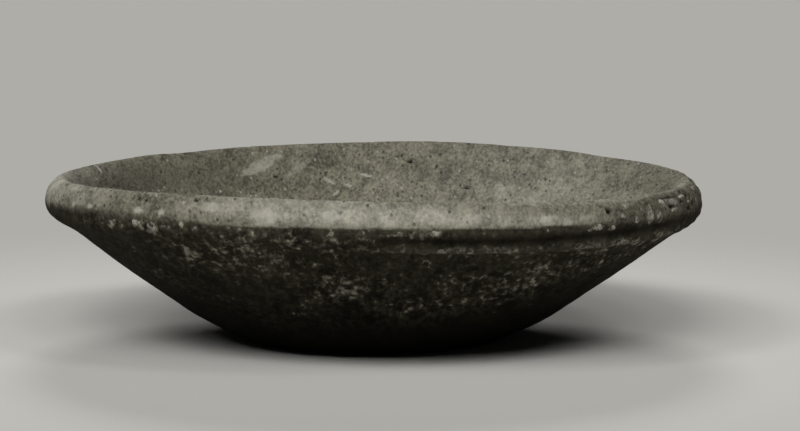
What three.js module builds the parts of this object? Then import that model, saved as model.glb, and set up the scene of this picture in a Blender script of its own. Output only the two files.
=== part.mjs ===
// Shallow bowl of hand-built fired clay: a floor slab, a straight flaring wall and a heavy rolled rim.
// Millimetres, +Z up. The origin is the centre of the flat underside and the bowl's front faces -Y.

import * as THREE from "three";

// Overall form
const RIM_DIAMETER = 300; // across the rim's outer edge
const RIM_HEIGHT = 76; // from the ground to the crest of the rim
const BASE_DIAMETER = 132; // where the line of the wall's outer face meets the ground
const FLOOR_THICKNESS = 9;
const WALL_FOOT_THICKNESS = 9; // square to the outer slope, at the ground
const WALL_TOP_THICKNESS = 14; // square to the outer slope, under the roll

// Rounded and swept corners of the floor slab
const BASE_ROUNDING = 14; // where the wall curves in to the underside, each way from the corner
const FLOOR_SWEEP = 14; // where floor and wall run together inside, each way from the corner

// Rolled rim
const CREST_INSET = 7.8; // from the outer edge in to the crest
const LIP_INSET = 15.5; // from the outer edge in to where the lip's inner slope begins
const LIP_DROP = 6; // from the crest down to the same place
const LIP_CORNER_INSET = 9.5; // where that slope would reach the crest's height, before rounding
const EDGE_DROP = 10.6; // from the crest down to the outer edge
const ROLL_DEPTH = 22; // from the crest down to the hollow line under the roll
const ROLL_OVERHANG = 11.3; // how far the outer edge stands out past that line
const BELLY_DROP = 6; // fullness of the roll's underside below the outer edge

// Joints between the members
const SLAB_TURN_UP = 26; // length of the wall's slope that the slab's edge is turned up along
const BEVEL_LENGTH = 6; // slant of the joint between slab and wall
const TONGUE_THICKNESS = 6; // thinned top edge of the wall, inside the roll
const TONGUE_LENGTH = 7;

// Hand-made waver of the rim, as heights
const SIDE_SLANT = 0.95; // the left side stands higher and the right side lower
const SADDLE_RISE = 1.75; // front and back stand higher and both sides lower
const DIAGONAL_RISE = 1.2; // front left and back right stand higher

// Roundness of the faceted solids
const FACETS_ROUND = 72;
const FACETS_PER_CURVE = 6;

const baseRadius = BASE_DIAMETER / 2;
const rimRadius = RIM_DIAMETER / 2;
const point = (radius, height) => new THREE.Vector2(radius, height);

// The wall's outer face is a straight line from the ground to the hollow line under the roll
const groundCorner = point(baseRadius, 0);
const hollowLine = point(rimRadius - ROLL_OVERHANG, RIM_HEIGHT - ROLL_DEPTH);
const slope = hollowLine.clone().sub(groundCorner).normalize();
const across = point(-slope.y, slope.x);
const wallLength = hollowLine.distanceTo(groundCorner);

// A point of the wall: so far up its slope from the ground, and so deep in from its outer face
function onWall(along, depth) {
  return groundCorner.clone().addScaledVector(slope, along).addScaledVector(across, depth);
}

// A point of the wall's inner face, which leaves the outer face steadily as the wall thickens
function onInnerFace(along) {
  return onWall(along, THREE.MathUtils.lerp(WALL_FOOT_THICKNESS, WALL_TOP_THICKNESS, along / wallLength));
}

function curve(start, control, end) {
  return new THREE.QuadraticBezierCurve(start, control, end).getPoints(FACETS_PER_CURVE);
}

// Bevelled joint between slab and wall, from the outer face to the inner face
const slabJoint = [onWall(SLAB_TURN_UP, 0), onInnerFace(SLAB_TURN_UP + BEVEL_LENGTH)];

// Saddle joint between wall and roll, from the outer face over the tongue to the inner face
function makeSaddleJoint() {
  const shoulder = (WALL_TOP_THICKNESS - TONGUE_THICKNESS) / 2;
  const farSide = shoulder + TONGUE_THICKNESS;
  const roundStart = wallLength + TONGUE_LENGTH - TONGUE_THICKNESS / 2;
  const roundPeak = wallLength + TONGUE_LENGTH + TONGUE_THICKNESS / 2;
  return [
    hollowLine,
    onWall(wallLength, shoulder),
    ...curve(
      onWall(roundStart, shoulder),
      onWall(roundPeak, WALL_TOP_THICKNESS / 2),
      onWall(roundStart, farSide),
    ),
    onWall(wallLength, farSide),
    onInnerFace(wallLength),
  ];
}
const saddleJoint = makeSaddleJoint();

function floorOutline() {
  const foot = onInnerFace(0);
  const innerSlope = onInnerFace(wallLength).sub(foot).normalize();
  const innerCorner = foot.addScaledVector(innerSlope, (FLOOR_THICKNESS - foot.y) / innerSlope.y);
  return [
    point(0, 0),
    ...curve(point(baseRadius - BASE_ROUNDING, 0), groundCorner, onWall(BASE_ROUNDING, 0)),
    ...slabJoint,
    ...curve(
      innerCorner.clone().addScaledVector(innerSlope, FLOOR_SWEEP),
      innerCorner,
      point(innerCorner.x - FLOOR_SWEEP, FLOOR_THICKNESS),
    ),
    point(0, FLOOR_THICKNESS),
  ];
}

function wallOutline() {
  return [...saddleJoint, ...slabJoint.toReversed(), hollowLine];
}

function rimOutline() {
  const crest = point(rimRadius - CREST_INSET, RIM_HEIGHT);
  const edge = point(rimRadius, RIM_HEIGHT - EDGE_DROP);
  const lip = point(rimRadius - LIP_INSET, RIM_HEIGHT - LIP_DROP);
  const shoulder = new THREE.EllipseCurve(crest.x, edge.y, CREST_INSET, EDGE_DROP, 0, Math.PI / 2);
  return [
    ...curve(hollowLine, point(rimRadius, edge.y - BELLY_DROP), edge),
    ...shoulder.getPoints(FACETS_PER_CURVE).slice(1),
    ...curve(crest, point(rimRadius - LIP_CORNER_INSET, RIM_HEIGHT), lip).slice(1),
    ...saddleJoint.toReversed(),
  ];
}

// Height that the waver adds at a place: none over the base, all of it at the rim's outer edge
function waver(x, y) {
  const radius = Math.hypot(x, y);
  const share = THREE.MathUtils.clamp((radius - baseRadius) / (rimRadius - baseRadius), 0, 1);
  const turn = Math.atan2(x, -y);
  const saddle = SADDLE_RISE * Math.cos(2 * turn) - DIAGONAL_RISE * Math.sin(2 * turn);
  return share * (saddle - SIDE_SLANT * Math.sin(turn));
}

// Splits every cell of a lathe from its lower corner on one side to its higher corner on the other, whichever way
// the outline runs, so that two members share each facet of the joint between them
function splitAlike(geometry, outline) {
  const index = [];
  for (let facet = 0; facet < FACETS_ROUND; facet += 1) {
    for (let step = 0; step + 1 < outline.length; step += 1) {
      const here = facet * outline.length + step;
      const beside = here + outline.length;
      const rising = outline[step].y < outline[step + 1].y;
      if (rising) index.push(here, beside, beside + 1, here, beside + 1, here + 1);
      else index.push(here, beside, here + 1, beside + 1, here + 1, beside);
    }
  }
  geometry.setIndex(index);
}

// Turns an outline about the axis and gives it the waver
function turnMember(name, outline, colour, roughness) {
  const geometry = new THREE.LatheGeometry(outline, FACETS_ROUND);
  splitAlike(geometry, outline);
  geometry.rotateX(Math.PI / 2);
  const places = geometry.getAttribute("position");
  for (let i = 0; i < places.count; i += 1) {
    places.setZ(i, places.getZ(i) + waver(places.getX(i), places.getY(i)));
  }
  geometry.computeVertexNormals();
  const mesh = new THREE.Mesh(geometry, new THREE.MeshStandardMaterial({ color: colour, roughness, metalness: 0 }));
  mesh.name = name;
  return mesh;
}

const bowl = new THREE.Group();
bowl.add(turnMember("floor_slab", floorOutline(), 0x5b5849, 0.9));
bowl.add(turnMember("wall", wallOutline(), 0x33312a, 0.88));
bowl.add(turnMember("rim_roll", rimOutline(), 0x86837a, 0.85));

export default bowl;
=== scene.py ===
"""Looks of a shallow bowl of hand-built fired clay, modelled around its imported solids.

Metres, +Z up. The bowl stands on the ground at the origin and its front faces -Y. A place on its skin is
given by its turn, the angle round from the front towards the right, and its reach, the distance along the
skin from the crest of the rim: above zero down the outside, below zero down the inside.
"""

import logging
import math
from dataclasses import dataclass, field
from enum import Enum
from functools import cached_property, partial

import bpy
import numpy as np
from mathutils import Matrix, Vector


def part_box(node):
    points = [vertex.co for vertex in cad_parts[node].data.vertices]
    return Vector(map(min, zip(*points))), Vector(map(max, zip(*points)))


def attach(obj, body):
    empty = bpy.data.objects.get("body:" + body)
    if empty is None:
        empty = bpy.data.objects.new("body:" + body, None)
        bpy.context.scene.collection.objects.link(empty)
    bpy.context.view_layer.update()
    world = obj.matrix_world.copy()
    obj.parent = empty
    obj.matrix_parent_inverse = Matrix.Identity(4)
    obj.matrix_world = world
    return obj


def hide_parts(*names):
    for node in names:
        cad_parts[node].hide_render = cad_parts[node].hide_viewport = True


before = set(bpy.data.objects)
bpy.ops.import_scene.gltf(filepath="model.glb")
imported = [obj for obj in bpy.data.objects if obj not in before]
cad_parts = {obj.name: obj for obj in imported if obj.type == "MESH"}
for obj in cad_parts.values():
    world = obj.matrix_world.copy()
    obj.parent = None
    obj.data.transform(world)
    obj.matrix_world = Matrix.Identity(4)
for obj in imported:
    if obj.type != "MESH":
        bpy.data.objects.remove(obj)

LOG = logging.getLogger("shallow_bowl")
MM = 0.001
PHOTO_WIDTH = 800
PHOTO_HEIGHT = 431
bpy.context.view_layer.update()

# Grain is drawn out from front to back and a little in height, to keep its size in the photograph's view
GRAIN_DRAW = (1.0, 0.5, 0.85)

# An outline's points, each with its rank on the skin, or -1 where a joint hides it
Outline = list[tuple[Vector, int]]

# Where something begins to show, is full, begins to fade and has faded
Band = tuple[float, float, float, float]
Pair = tuple[float, float]
Array = np.ndarray
Socket = bpy.types.NodeSocket


class Slot(Enum):
    """Finishes of the bowl, by their names in the record."""

    FLOOR = "floor_clay"
    WALL = "wall_clay"
    RIM = "rim_clay"


class PatchKind(Enum):
    """What a broad patch on the clay is."""

    RUBBED_AND_LIT = "rubbed_and_lit"
    SHADE_AND_DARK = "shade_and_dark"
    FLECKED = "flecked"


class MarkKind(Enum):
    """What a mark on the clay is, by the mask that it adds to."""

    PIT = "pit_and_groove_shade"
    SCRAPE = "scraped"
    CRUST = "crusted"


@dataclass(frozen=True)
class BowlForm:
    """Sizes that the three members share, in metres.

    Attributes:
        rim_radius: Radius of the rim's outer edge.
        rim_height: Height of the rim's crest.
        base_radius: Where the line of the wall's outer face meets the ground.
        floor_thickness: Thickness of the floor.
        wall_foot: Thickness of the wall at the ground, square to its slope.
        wall_top: Thickness of the wall under the roll, square to its slope.
        foot_radius: Where the foot, which is bent in, meets the ground.
        foot_rounding: Rounding of the foot's edge, each way from its corner.
        foot_bend: Where the lower wall bends in to the foot, up its slope from the ground.
        floor_sweep: Where floor and wall run together inside, each way from the corner.
        crest_inset: From the outer edge in to the crest.
        lip_inset: From the outer edge in to where the lip's inner slope begins.
        lip_drop: From the crest down to the same place.
        lip_corner_inset: Where that slope would reach the crest's height, before rounding.
        edge_drop: From the crest down to the outer edge.
        roll_depth: From the crest down to the hollow line under the roll.
        roll_overhang: How far the outer edge stands out past that line.
        belly_drop: Fullness of the roll's underside below the outer edge.
        hollow_ease: Rounding of the hollow line, each way from it.
        bead_room: Top stretch of the wall, below that rounding, which has closer points for the bead.
        slab_turn_up: Length of the wall's slope that the slab's edge is turned up along.
        bevel_length: Slant of the joint between slab and wall.
        tongue_thickness: Thickness of the wall's thinned top edge, inside the roll.
        tongue_length: Length of that edge.
        side_slant: Waver of the rim that lifts its left side and lowers its right side.
        saddle_rise: Waver of the rim that lifts front and back and lowers both sides.
        diagonal_rise: Waver of the rim that lifts front left and back right.
    """

    rim_radius: float
    rim_height: float = 76 * MM
    base_radius: float = 66 * MM
    floor_thickness: float = 9 * MM
    wall_foot: float = 9 * MM
    wall_top: float = 14 * MM
    foot_radius: float = 57.8 * MM
    foot_rounding: float = 3 * MM
    foot_bend: float = 15 * MM
    floor_sweep: float = 14 * MM
    crest_inset: float = 7.8 * MM
    lip_inset: float = 15.5 * MM
    lip_drop: float = 6 * MM
    lip_corner_inset: float = 9.5 * MM
    edge_drop: float = 10.6 * MM
    roll_depth: float = 22 * MM
    roll_overhang: float = 11.3 * MM
    belly_drop: float = 6 * MM
    hollow_ease: float = 4 * MM
    bead_room: float = 8 * MM
    slab_turn_up: float = 26 * MM
    bevel_length: float = 6 * MM
    tongue_thickness: float = 6 * MM
    tongue_length: float = 7 * MM
    side_slant: float = 0.95 * MM
    saddle_rise: float = 1.75 * MM
    diagonal_rise: float = 1.2 * MM

    @property
    def ground_corner(self) -> Vector:
        """Where the line of the wall's outer face meets the ground."""
        return Vector((self.base_radius, 0.0))

    @property
    def hollow_line(self) -> Vector:
        """Where the roll's underside meets the wall."""
        return Vector((self.rim_radius - self.roll_overhang, self.rim_height - self.roll_depth))

    @property
    def wall_length(self) -> float:
        """Length of the wall's outer slope."""
        return (self.hollow_line - self.ground_corner).length

    def on_wall(self, along: float, depth: float = 0.0) -> Vector:
        """Finds a point of the wall.

        Args:
            along: Distance up the outer slope from the ground.
            depth: Distance in from the outer face, square to it.

        Returns:
            The point, as radius and height.
        """
        slope = (self.hollow_line - self.ground_corner).normalized()
        across = Vector((-slope.y, slope.x))
        return self.ground_corner + slope * along + across * depth

    def on_inner_face(self, along: float) -> Vector:
        """Finds a point of the wall's inner face, which leaves the outer face as the wall thickens.

        Args:
            along: Distance up the outer slope from the ground.

        Returns:
            The point, as radius and height.
        """
        share = along / self.wall_length
        return self.on_wall(along, self.wall_foot + (self.wall_top - self.wall_foot) * share)

    def saddle_joint(self) -> list[Vector]:
        """Outlines the hidden joint over the wall's tongue.

        Returns:
            Its points, on the way from the hollow line to the inner face.
        """
        shoulder = (self.wall_top - self.tongue_thickness) / 2
        far_side = shoulder + self.tongue_thickness
        tip = self.wall_length + self.tongue_length
        rounding = shoulder / 2
        return [
            self.on_wall(self.wall_length, shoulder),
            self.on_wall(tip - rounding, shoulder),
            self.on_wall(tip, self.wall_top / 2),
            self.on_wall(tip - rounding, far_side),
            self.on_wall(self.wall_length, far_side),
        ]

    def waver(self, radius: Array, turn: Array) -> Array:
        """Works out the height that the hand-made waver adds.

        Args:
            radius: Distances from the axis.
            turn: Angles round from the front.

        Returns:
            Heights to add: none over the base, all of it at the rim's outer edge.
        """
        share = np.clip((radius - self.base_radius) / (self.rim_radius - self.base_radius), 0, 1)
        saddle = self.saddle_rise * np.cos(2 * turn) - self.diagonal_rise * np.sin(2 * turn)
        return share * (saddle - self.side_slant * np.sin(turn))


@dataclass
class Skin:
    """The bowl's whole visible outline, from the middle of the underside to the middle of the floor inside.

    Attributes:
        form: Sizes of the bowl.
        finest: Spacing of points along the joint under the rim.
        fine: Spacing of points on the rim.
        inner: Spacing of points on the wall's inner face, by the bead and on the foot's edge.
        outer: Spacing of points on the wall's outer face and on the floor's sweep.
        coarse: Spacing of points on the flat faces.
        points: The outline's points, as radius and height.
        places: Ranks of the points that have a name.
        reach: Distance of each point along the skin from the crest.
        normals: Direction out of the skin at each point.
    """

    form: BowlForm
    finest: float = 0.38 * MM
    fine: float = 0.75 * MM
    inner: float = 1.12 * MM
    outer: float = 1.75 * MM
    coarse: float = 2.0 * MM
    points: list[Vector] = field(default_factory=list)
    places: dict[str, int] = field(default_factory=dict)
    reach: Array = field(init=False)
    normals: Array = field(init=False)

    def __post_init__(self) -> None:
        """Draws the outline and measures its reach and its normals."""
        self._draw()
        track = np.array([tuple(point) for point in self.points])
        steps = np.linalg.norm(np.diff(track, axis=0), axis=1)
        length = np.concatenate([[0.0], np.cumsum(steps)])
        self.reach = length[self.places["crest"]] - length
        tangent = np.gradient(track, axis=0)
        tangent /= np.linalg.norm(tangent, axis=1)[:, None]
        self.normals = np.stack([tangent[:, 1], -tangent[:, 0]], axis=1)
        self.normals[0] = (0.0, -1.0)
        self.normals[-1] = (0.0, 1.0)

    def _line(self, end: Vector, spacing: float) -> None:
        """Goes on in a straight line.

        Args:
            end: Where it ends.
            spacing: Distance between points on the way.
        """
        start = self.points[-1]
        count = max(1, round((end - start).length / spacing))
        self.points += [start.lerp(end, k / count) for k in range(1, count + 1)]

    def _round(self, control: Vector, end: Vector, spacing: float) -> None:
        """Goes on in a quadratic curve.

        Args:
            control: Corner that it rounds.
            end: Where it ends.
            spacing: Distance between points on the way.
        """
        start = self.points[-1]
        count = max(2, round(((control - start).length + (end - control).length) / spacing))
        for k in range(1, count + 1):
            share = k / count
            self.points.append(start.lerp(control, share).lerp(control.lerp(end, share), share))

    def _shoulder(self, crest: Vector, spacing: float) -> None:
        """Goes on in a quarter of an ellipse, upright at first and level at its end.

        Args:
            crest: Where it ends.
            spacing: Distance between points on the way.
        """
        start = self.points[-1]
        across, rise = start.x - crest.x, crest.y - start.y
        count = max(2, round((across + rise) * math.pi / 4 / spacing))
        for k in range(1, count + 1):
            angle = math.pi / 2 * k / count
            step = Vector((across * math.cos(angle), rise * math.sin(angle)))
            self.points.append(Vector((crest.x, start.y)) + step)

    def _mark(self, name: str) -> None:
        """Remembers the last point by a name."""
        self.places[name] = len(self.points) - 1

    def _draw(self) -> None:
        """Draws the outline: underside, outside, over the rim, inside and floor."""
        form = self.form
        edge = Vector((form.rim_radius, form.rim_height - form.edge_drop))
        belly = edge - Vector((0.0, form.belly_drop))
        crest = Vector((form.rim_radius - form.crest_inset, form.rim_height))
        lip = Vector((form.rim_radius - form.lip_inset, form.rim_height - form.lip_drop))
        under_start = form.hollow_line + (belly - form.hollow_line).normalized() * form.hollow_ease
        wall_end = form.wall_length - form.hollow_ease
        ground = Vector((form.foot_radius, 0.0))
        bend = form.on_wall(form.foot_bend)
        foot = form.on_inner_face(0.0)
        inner_slope = (form.on_inner_face(form.wall_length) - foot).normalized()
        corner = foot + inner_slope * ((form.floor_thickness - foot.y) / inner_slope.y)
        self.points.append(Vector((0.0, 0.0)))
        self._mark("underside_middle")
        self._line(ground - Vector((form.foot_rounding, 0.0)), self.coarse)
        self._round(ground, ground + (bend - ground).normalized() * form.foot_rounding, self.inner)
        self._round(bend, form.on_wall(form.slab_turn_up), self.outer)
        self._mark("slab_outside")
        self._line(form.on_wall(wall_end - form.bead_room), self.outer)
        self._line(form.on_wall(wall_end), self.inner)
        hollow_first = len(self.points)
        self._round(form.hollow_line, under_start, self.finest)
        self.places["hollow"] = (hollow_first + len(self.points)) // 2
        self._round(belly, edge, self.fine)
        self._shoulder(crest, self.fine)
        self._mark("crest")
        self._round(Vector((form.rim_radius - form.lip_corner_inset, form.rim_height)), lip, self.fine)
        self._line(form.on_inner_face(form.wall_length), self.fine)
        self._mark("fold")
        self._line(form.on_inner_face(form.slab_turn_up + form.bevel_length), self.inner)
        self._mark("slab_inside")
        self._line(corner + inner_slope * form.floor_sweep, self.outer)
        self._round(corner, Vector((corner.x - form.floor_sweep, form.floor_thickness)), self.outer)
        self._line(Vector((0.0, form.floor_thickness)), self.coarse)
        self._mark("floor_middle")


@dataclass(frozen=True)
class Spots:
    """Places on the smooth skin, one for each point of a mesh.

    Attributes:
        points: The places in space, one row each.
        turn: Their angles round from the front.
        reach: Their distances along the skin from the crest.
    """

    points: Array
    turn: Array
    reach: Array

    @cached_property
    def around(self) -> Array:
        """Angles round from the front, in degrees."""
        return np.degrees(self.turn)

    @cached_property
    def down(self) -> Array:
        """Distances along the skin from the crest, in millimetres."""
        return self.reach / MM

    @cached_property
    def radius(self) -> Array:
        """Distances from the axis."""
        return np.hypot(self.points[:, 0], self.points[:, 1])

    @cached_property
    def drawn(self) -> Array:
        """The places in the space that the grain is drawn out in."""
        return self.points * np.array(GRAIN_DRAW)


class Noise:
    """Repeatable noise over points in space, which gives each whole-number cell its own numbers.

    Attributes:
        CORNERS: Steps from a cell's lowest corner to all its corners.
        NEIGHBOURS: Steps from a cell to itself and all the cells around it.
        MIXERS: Large odd factors that mix up a cell's place and its seed.
        SHIFTS: By how many bits the mix is folded over itself.
        SEED_STEP: How far apart the seeds lie in the mix.
        SALT_STEP: How far apart a cell's numbers lie in the mix.
        WRAP: Where the mix starts again from 0.
        LARGEST: Largest whole number that is kept of the mix.
        OCTAVE_SHIFT: How far each finer size is moved aside, in lumps.
        PLACE_SALTS: A cell's numbers for the place of its pit.
        SIZE_SALT: A cell's number for the size of its pit.
        CHANCE_SALT: A cell's number for whether it has a pit.
    """

    CORNERS = [(i, j, k) for i in (0, 1) for j in (0, 1) for k in (0, 1)]
    NEIGHBOURS = [(i, j, k) for i in (-1, 0, 1) for j in (-1, 0, 1) for k in (-1, 0, 1)]
    MIXERS = (374761393, 668265263, 2246822519, 3266489917)
    SHIFTS = (15, 13, 16)
    SEED_STEP = 40503
    SALT_STEP = 9176
    WRAP = 2 ** 32
    LARGEST = 2 ** 24 - 1
    OCTAVE_SHIFT = 7.3
    PLACE_SALTS = (1, 2, 3)
    SIZE_SALT = 4
    CHANCE_SALT = 5

    def __init__(self, seed: int) -> None:
        """Keeps the seed."""
        self.seed = seed

    def _hash(self, cells: Array, salt: int = 0) -> Array:
        """Gives each whole-number cell a repeatable number.

        Args:
            cells: Whole-number places of the cells.
            salt: Which of a cell's numbers it is.

        Returns:
            Numbers from 0 to 1.
        """
        x, y, z = np.moveaxis(cells.astype(np.uint32), -1, 0)
        first, second, third, last = (np.uint32(n) for n in self.MIXERS)
        start = (self.seed * self.SEED_STEP + salt * self.SALT_STEP + 1) * self.MIXERS[-1] % self.WRAP
        mixed = x * first + y * second + z * third + np.uint32(start)
        for shift, mixer in zip(self.SHIFTS, (third, last)):
            mixed = (mixed ^ (mixed >> np.uint32(shift))) * mixer
        mixed = mixed ^ (mixed >> np.uint32(self.SHIFTS[-1]))
        return (mixed & np.uint32(self.LARGEST)) / float(self.LARGEST)

    def smooth(self, points: Array, size: float) -> Array:
        """Gives smooth noise.

        Args:
            points: Places, one row each.
            size: Size of the noise's lumps.

        Returns:
            Values from -1 to 1.
        """
        scaled = points / size
        cells = np.floor(scaled).astype(np.int64)
        inner = scaled - cells
        ease = inner ** 3 * (inner * (inner * 6 - 15) + 10)
        total = np.zeros(len(points))
        for corner in self.CORNERS:
            weight = np.prod(np.where(np.array(corner) == 1, ease, 1 - ease), axis=1)
            total += weight * self._hash(cells + np.array(corner))
        return total * 2 - 1

    def lumpy(self, points: Array, size: float, octaves: int) -> Array:
        """Adds up noise of halving sizes.

        Args:
            points: Places, one row each.
            size: Size of the largest lumps.
            octaves: How many sizes are added.

        Returns:
            Values from about -1 to 1.
        """
        total = np.zeros(len(points))
        for octave in range(octaves):
            shifted = points + self.OCTAVE_SHIFT * octave * size
            total += self.smooth(shifted, size / 2 ** octave) / 2 ** octave
        return total / (2 - 0.5 ** (octaves - 1))

    def pits(self, points: Array, cell: float, share: float, radius: Pair) -> Array:
        """Scatters round pits.

        Args:
            points: Places, one row each.
            cell: Size of the cells, which hold at most one pit each.
            share: Share of the cells that hold a pit.
            radius: Smallest and largest radius of a pit.

        Returns:
            Depths from 0, away from any pit, to 1 at the middle of one.
        """
        cells = np.floor(points / cell).astype(np.int64)
        depth = np.zeros(len(points))
        for step in self.NEIGHBOURS:
            here = cells + np.array(step)
            middle = (here + np.stack([self._hash(here, salt) for salt in self.PLACE_SALTS], axis=1)) * cell
            size = radius[0] + (radius[1] - radius[0]) * self._hash(here, self.SIZE_SALT) ** 2
            away = np.linalg.norm(points - middle, axis=1) / size
            pit = np.clip(1 - away ** 2, 0, 1)
            depth = np.maximum(depth, np.where(self._hash(here, self.CHANCE_SALT) < share, pit, 0))
        return depth


def ramp(values: Array, low: float, high: float) -> Array:
    """Eases values from 0 at the low end to 1 at the high end."""
    share = np.clip((values - low) / (high - low), 0, 1)
    return share * share * (3 - 2 * share)


def band(values: Array, start: float, full: float, fade: float, end: float) -> Array:
    """Eases values from 0 at the start to 1 between full and fade, and back to 0 at the end."""
    return ramp(values, start, full) * ramp(-values, -end, -fade)


@dataclass(frozen=True)
class Lumps:
    """Lumps of one kind on the clay.

    Attributes:
        height: How far they stand out, or how strongly they count.
        size: Size of the largest.
        octaves: How many halving sizes are added.
        seed: Seed of their noise.
    """

    height: float
    size: float
    octaves: int
    seed: int

    def rise(self, points: Array) -> Array:
        """Works out how far the lumps stand out at each place."""
        return self.height * Noise(self.seed).lumpy(points, self.size, self.octaves)


@dataclass(frozen=True)
class Mark:
    """One mark that stands out on the clay.

    Attributes:
        kind: What it is.
        turn: Angle round from the front, in degrees.
        reach: Distance along the skin from the crest, in millimetres.
        length: Its longer side, in millimetres.
        width: Its shorter side, in millimetres.
        slant: Angle of its longer side from level, in degrees.
        depth: How deep it is sunk, in millimetres, or how proud it stands if below zero.
        strength: How clearly its colour shows, from 0 to 1.
        crisp: How sharply it ends, from 1 for a soft edge.
    """

    kind: MarkKind
    turn: float
    reach: float
    length: float
    width: float
    slant: float = 0.0
    depth: float = 0.0
    strength: float = 1.0
    crisp: float = 1.0

    # Square of the distance from its middle at which it ends, in half lengths or half widths
    END = 1.4

    def cover(self, spots: Spots, fray: Array) -> Array:
        """Works out how much of the mark lies at each place.

        Args:
            spots: Places on the skin.
            fray: Unevenness of the mark's outline.

        Returns:
            Shares from 0, clear of the mark, to 1 at its middle.
        """
        aside = spots.turn - math.radians(self.turn)
        aside = (aside + math.pi) % (2 * math.pi) - math.pi
        level = aside * spots.radius / MM
        below = spots.down - self.reach
        lean = math.radians(self.slant)
        along = level * math.cos(lean) - below * math.sin(lean)
        across = level * math.sin(lean) + below * math.cos(lean)
        away = (along / (self.length / 2)) ** 2 + (across / (self.width / 2)) ** 2
        return np.clip((self.END - away + fray) * self.crisp, 0, 1)


pit_at = partial(Mark, MarkKind.PIT)
scrape_at = partial(Mark, MarkKind.SCRAPE)
crust_at = partial(Mark, MarkKind.CRUST)

# Inside: the oval scrape, straw scratches, pale grains and pits of the far side
INSIDE_MARKS = [
    scrape_at(-155, -13, 23, 5.6, slant=26, depth=0.3, strength=0.55, crisp=3),
    scrape_at(-163.5, -16, 20, 3, slant=36, strength=0.26, crisp=2),
    scrape_at(-170, -26, 7, 1.6, slant=-37, depth=0.2),
    scrape_at(-178.5, -22.5, 8, 1.6, slant=-20, depth=0.2),
    scrape_at(-174, -29, 5, 1.5, slant=-30, depth=0.2),
    scrape_at(-171, -34, 6, 1.5, slant=40, depth=0.2),
    scrape_at(-110.5, -4, 8, 2.2, slant=60),
    crust_at(-142, -28.3, 2.4, 2.2, depth=-0.4),
    crust_at(178.8, -37.5, 2.8, 2.6, depth=-0.4),
    pit_at(172, -13.3, 3.4, 1.9, slant=-20, depth=0.9, crisp=2),
    pit_at(157.3, -29.6, 3.0, 1.8, slant=-15, depth=0.9, crisp=2),
    pit_at(-157.5, -21, 3.0, 1.8, slant=10, depth=0.7),
    pit_at(166, -16, 3.2, 1.5, slant=70, depth=0.6),
]

# Rim: its larger pits, white crust on the rough right side and pale patches at the front
RIM_MARKS = [
    pit_at(42.5, 7.4, 3.6, 3.4, depth=2.2, crisp=2),
    pit_at(-30.2, 4.8, 2.0, 1.8, depth=0.9),
    pit_at(-40.5, 6.3, 2.0, 1.8, depth=0.9),
    pit_at(-42.4, 5.6, 1.9, 1.7, depth=0.7),
    pit_at(-5.2, 8.0, 2.2, 1.4, slant=20, depth=0.4, strength=0.7),
    pit_at(-61, 5.8, 2.0, 1.8, depth=0.7),
    pit_at(76.5, 13.9, 5, 2.4, depth=1.0),
    pit_at(62, 4.4, 26, 1.2, depth=0.4, strength=0.7),
    pit_at(66.2, 7.7, 6, 1.5, depth=0.8),
    pit_at(70.5, 5.9, 6, 1.5, slant=30, depth=0.8),
    pit_at(60.5, 8.9, 6, 1.2, depth=0.6),
    pit_at(69.2, 11.4, 6, 1.6, depth=0.7),
    pit_at(74, 8, 7, 1.6, slant=40, depth=0.8),
    crust_at(-42, 16.9, 5.5, 4.2, depth=-0.3, strength=0.75),
    crust_at(-38.7, 18, 5.5, 4.6, depth=-0.3, strength=0.75),
    crust_at(62, 7, 9, 3.2, depth=-0.7),
    crust_at(57.7, 6.3, 4.4, 2.8, depth=-0.5),
    crust_at(53, 12.2, 7.5, 5.4, slant=90, depth=-0.5),
    crust_at(56, 13, 6, 4.2, slant=90, depth=-0.5),
    crust_at(49, 13, 3.8, 2.4, depth=-0.4),
    crust_at(45.5, 10.7, 2.6, 2.4, depth=-0.3),
    crust_at(46.8, 6.3, 5.4, 4.0, strength=0.6),
    crust_at(39.2, 14.7, 7.5, 2.8, depth=-0.4),
    crust_at(37.5, 15.9, 3.4, 1.9, depth=-0.3),
    crust_at(42.5, 15.5, 4.8, 2.4, depth=-0.4),
    crust_at(67.2, 5.6, 9, 2.4, depth=-0.6, strength=0.75),
    crust_at(70, 8.9, 7, 2.2, depth=-0.5, strength=0.7),
    crust_at(78.5, 4.8, 12, 2.6, depth=-0.5, strength=0.7),
    crust_at(61.5, 10.7, 7, 1.8, depth=-0.4, strength=0.75),
    scrape_at(-27, 7.8, 9, 4.5, strength=0.75),
    scrape_at(-17.5, 11.3, 11, 7, strength=0.9),
    scrape_at(-6.5, 10, 8, 5, strength=0.8),
    scrape_at(29, 10.5, 6, 3.5),
    scrape_at(33, 11.5, 5, 3.5),
    scrape_at(-41.5, 11.4, 7, 2.6),
    scrape_at(-36.5, 11.6, 4, 3),
    scrape_at(-60.5, 11.4, 4, 2),
    scrape_at(-54.8, 11.4, 5, 2.2),
]

# Outside of the wall: crust along both edges of the groove, and the larger dabs at the front
WALL_MARKS = [
    crust_at(3.3, 17.4, 11, 1.6, strength=0.55),
    crust_at(9.8, 16.2, 6, 2.4, strength=0.6),
    crust_at(2.9, 27.4, 4.5, 2, strength=0.6),
    crust_at(11.5, 26.4, 8, 2.8, strength=0.7),
    crust_at(13.4, 33, 8, 1.8, slant=80, strength=0.5),
    crust_at(3.3, 73, 6, 1.8, slant=-15, strength=0.5),
    crust_at(-8.8, 66, 4.4, 2.8, strength=0.6),
    crust_at(-10.8, 58, 5, 2.6, strength=0.45),
    crust_at(11.1, 69, 6, 2.2, slant=-30, strength=0.45),
    crust_at(26.2, 53, 4, 2.4, strength=0.45),
    crust_at(28.7, 70, 4.8, 2.8, slant=10, strength=0.55),
    crust_at(30.6, 64, 5.4, 2.2, slant=-40, strength=0.5),
    crust_at(39, 51, 3.8, 2.6, strength=0.4),
    crust_at(42.8, 79, 4, 1.8, strength=0.5),
    crust_at(44, 55, 4.4, 2.2, slant=30, strength=0.4),
]


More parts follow.
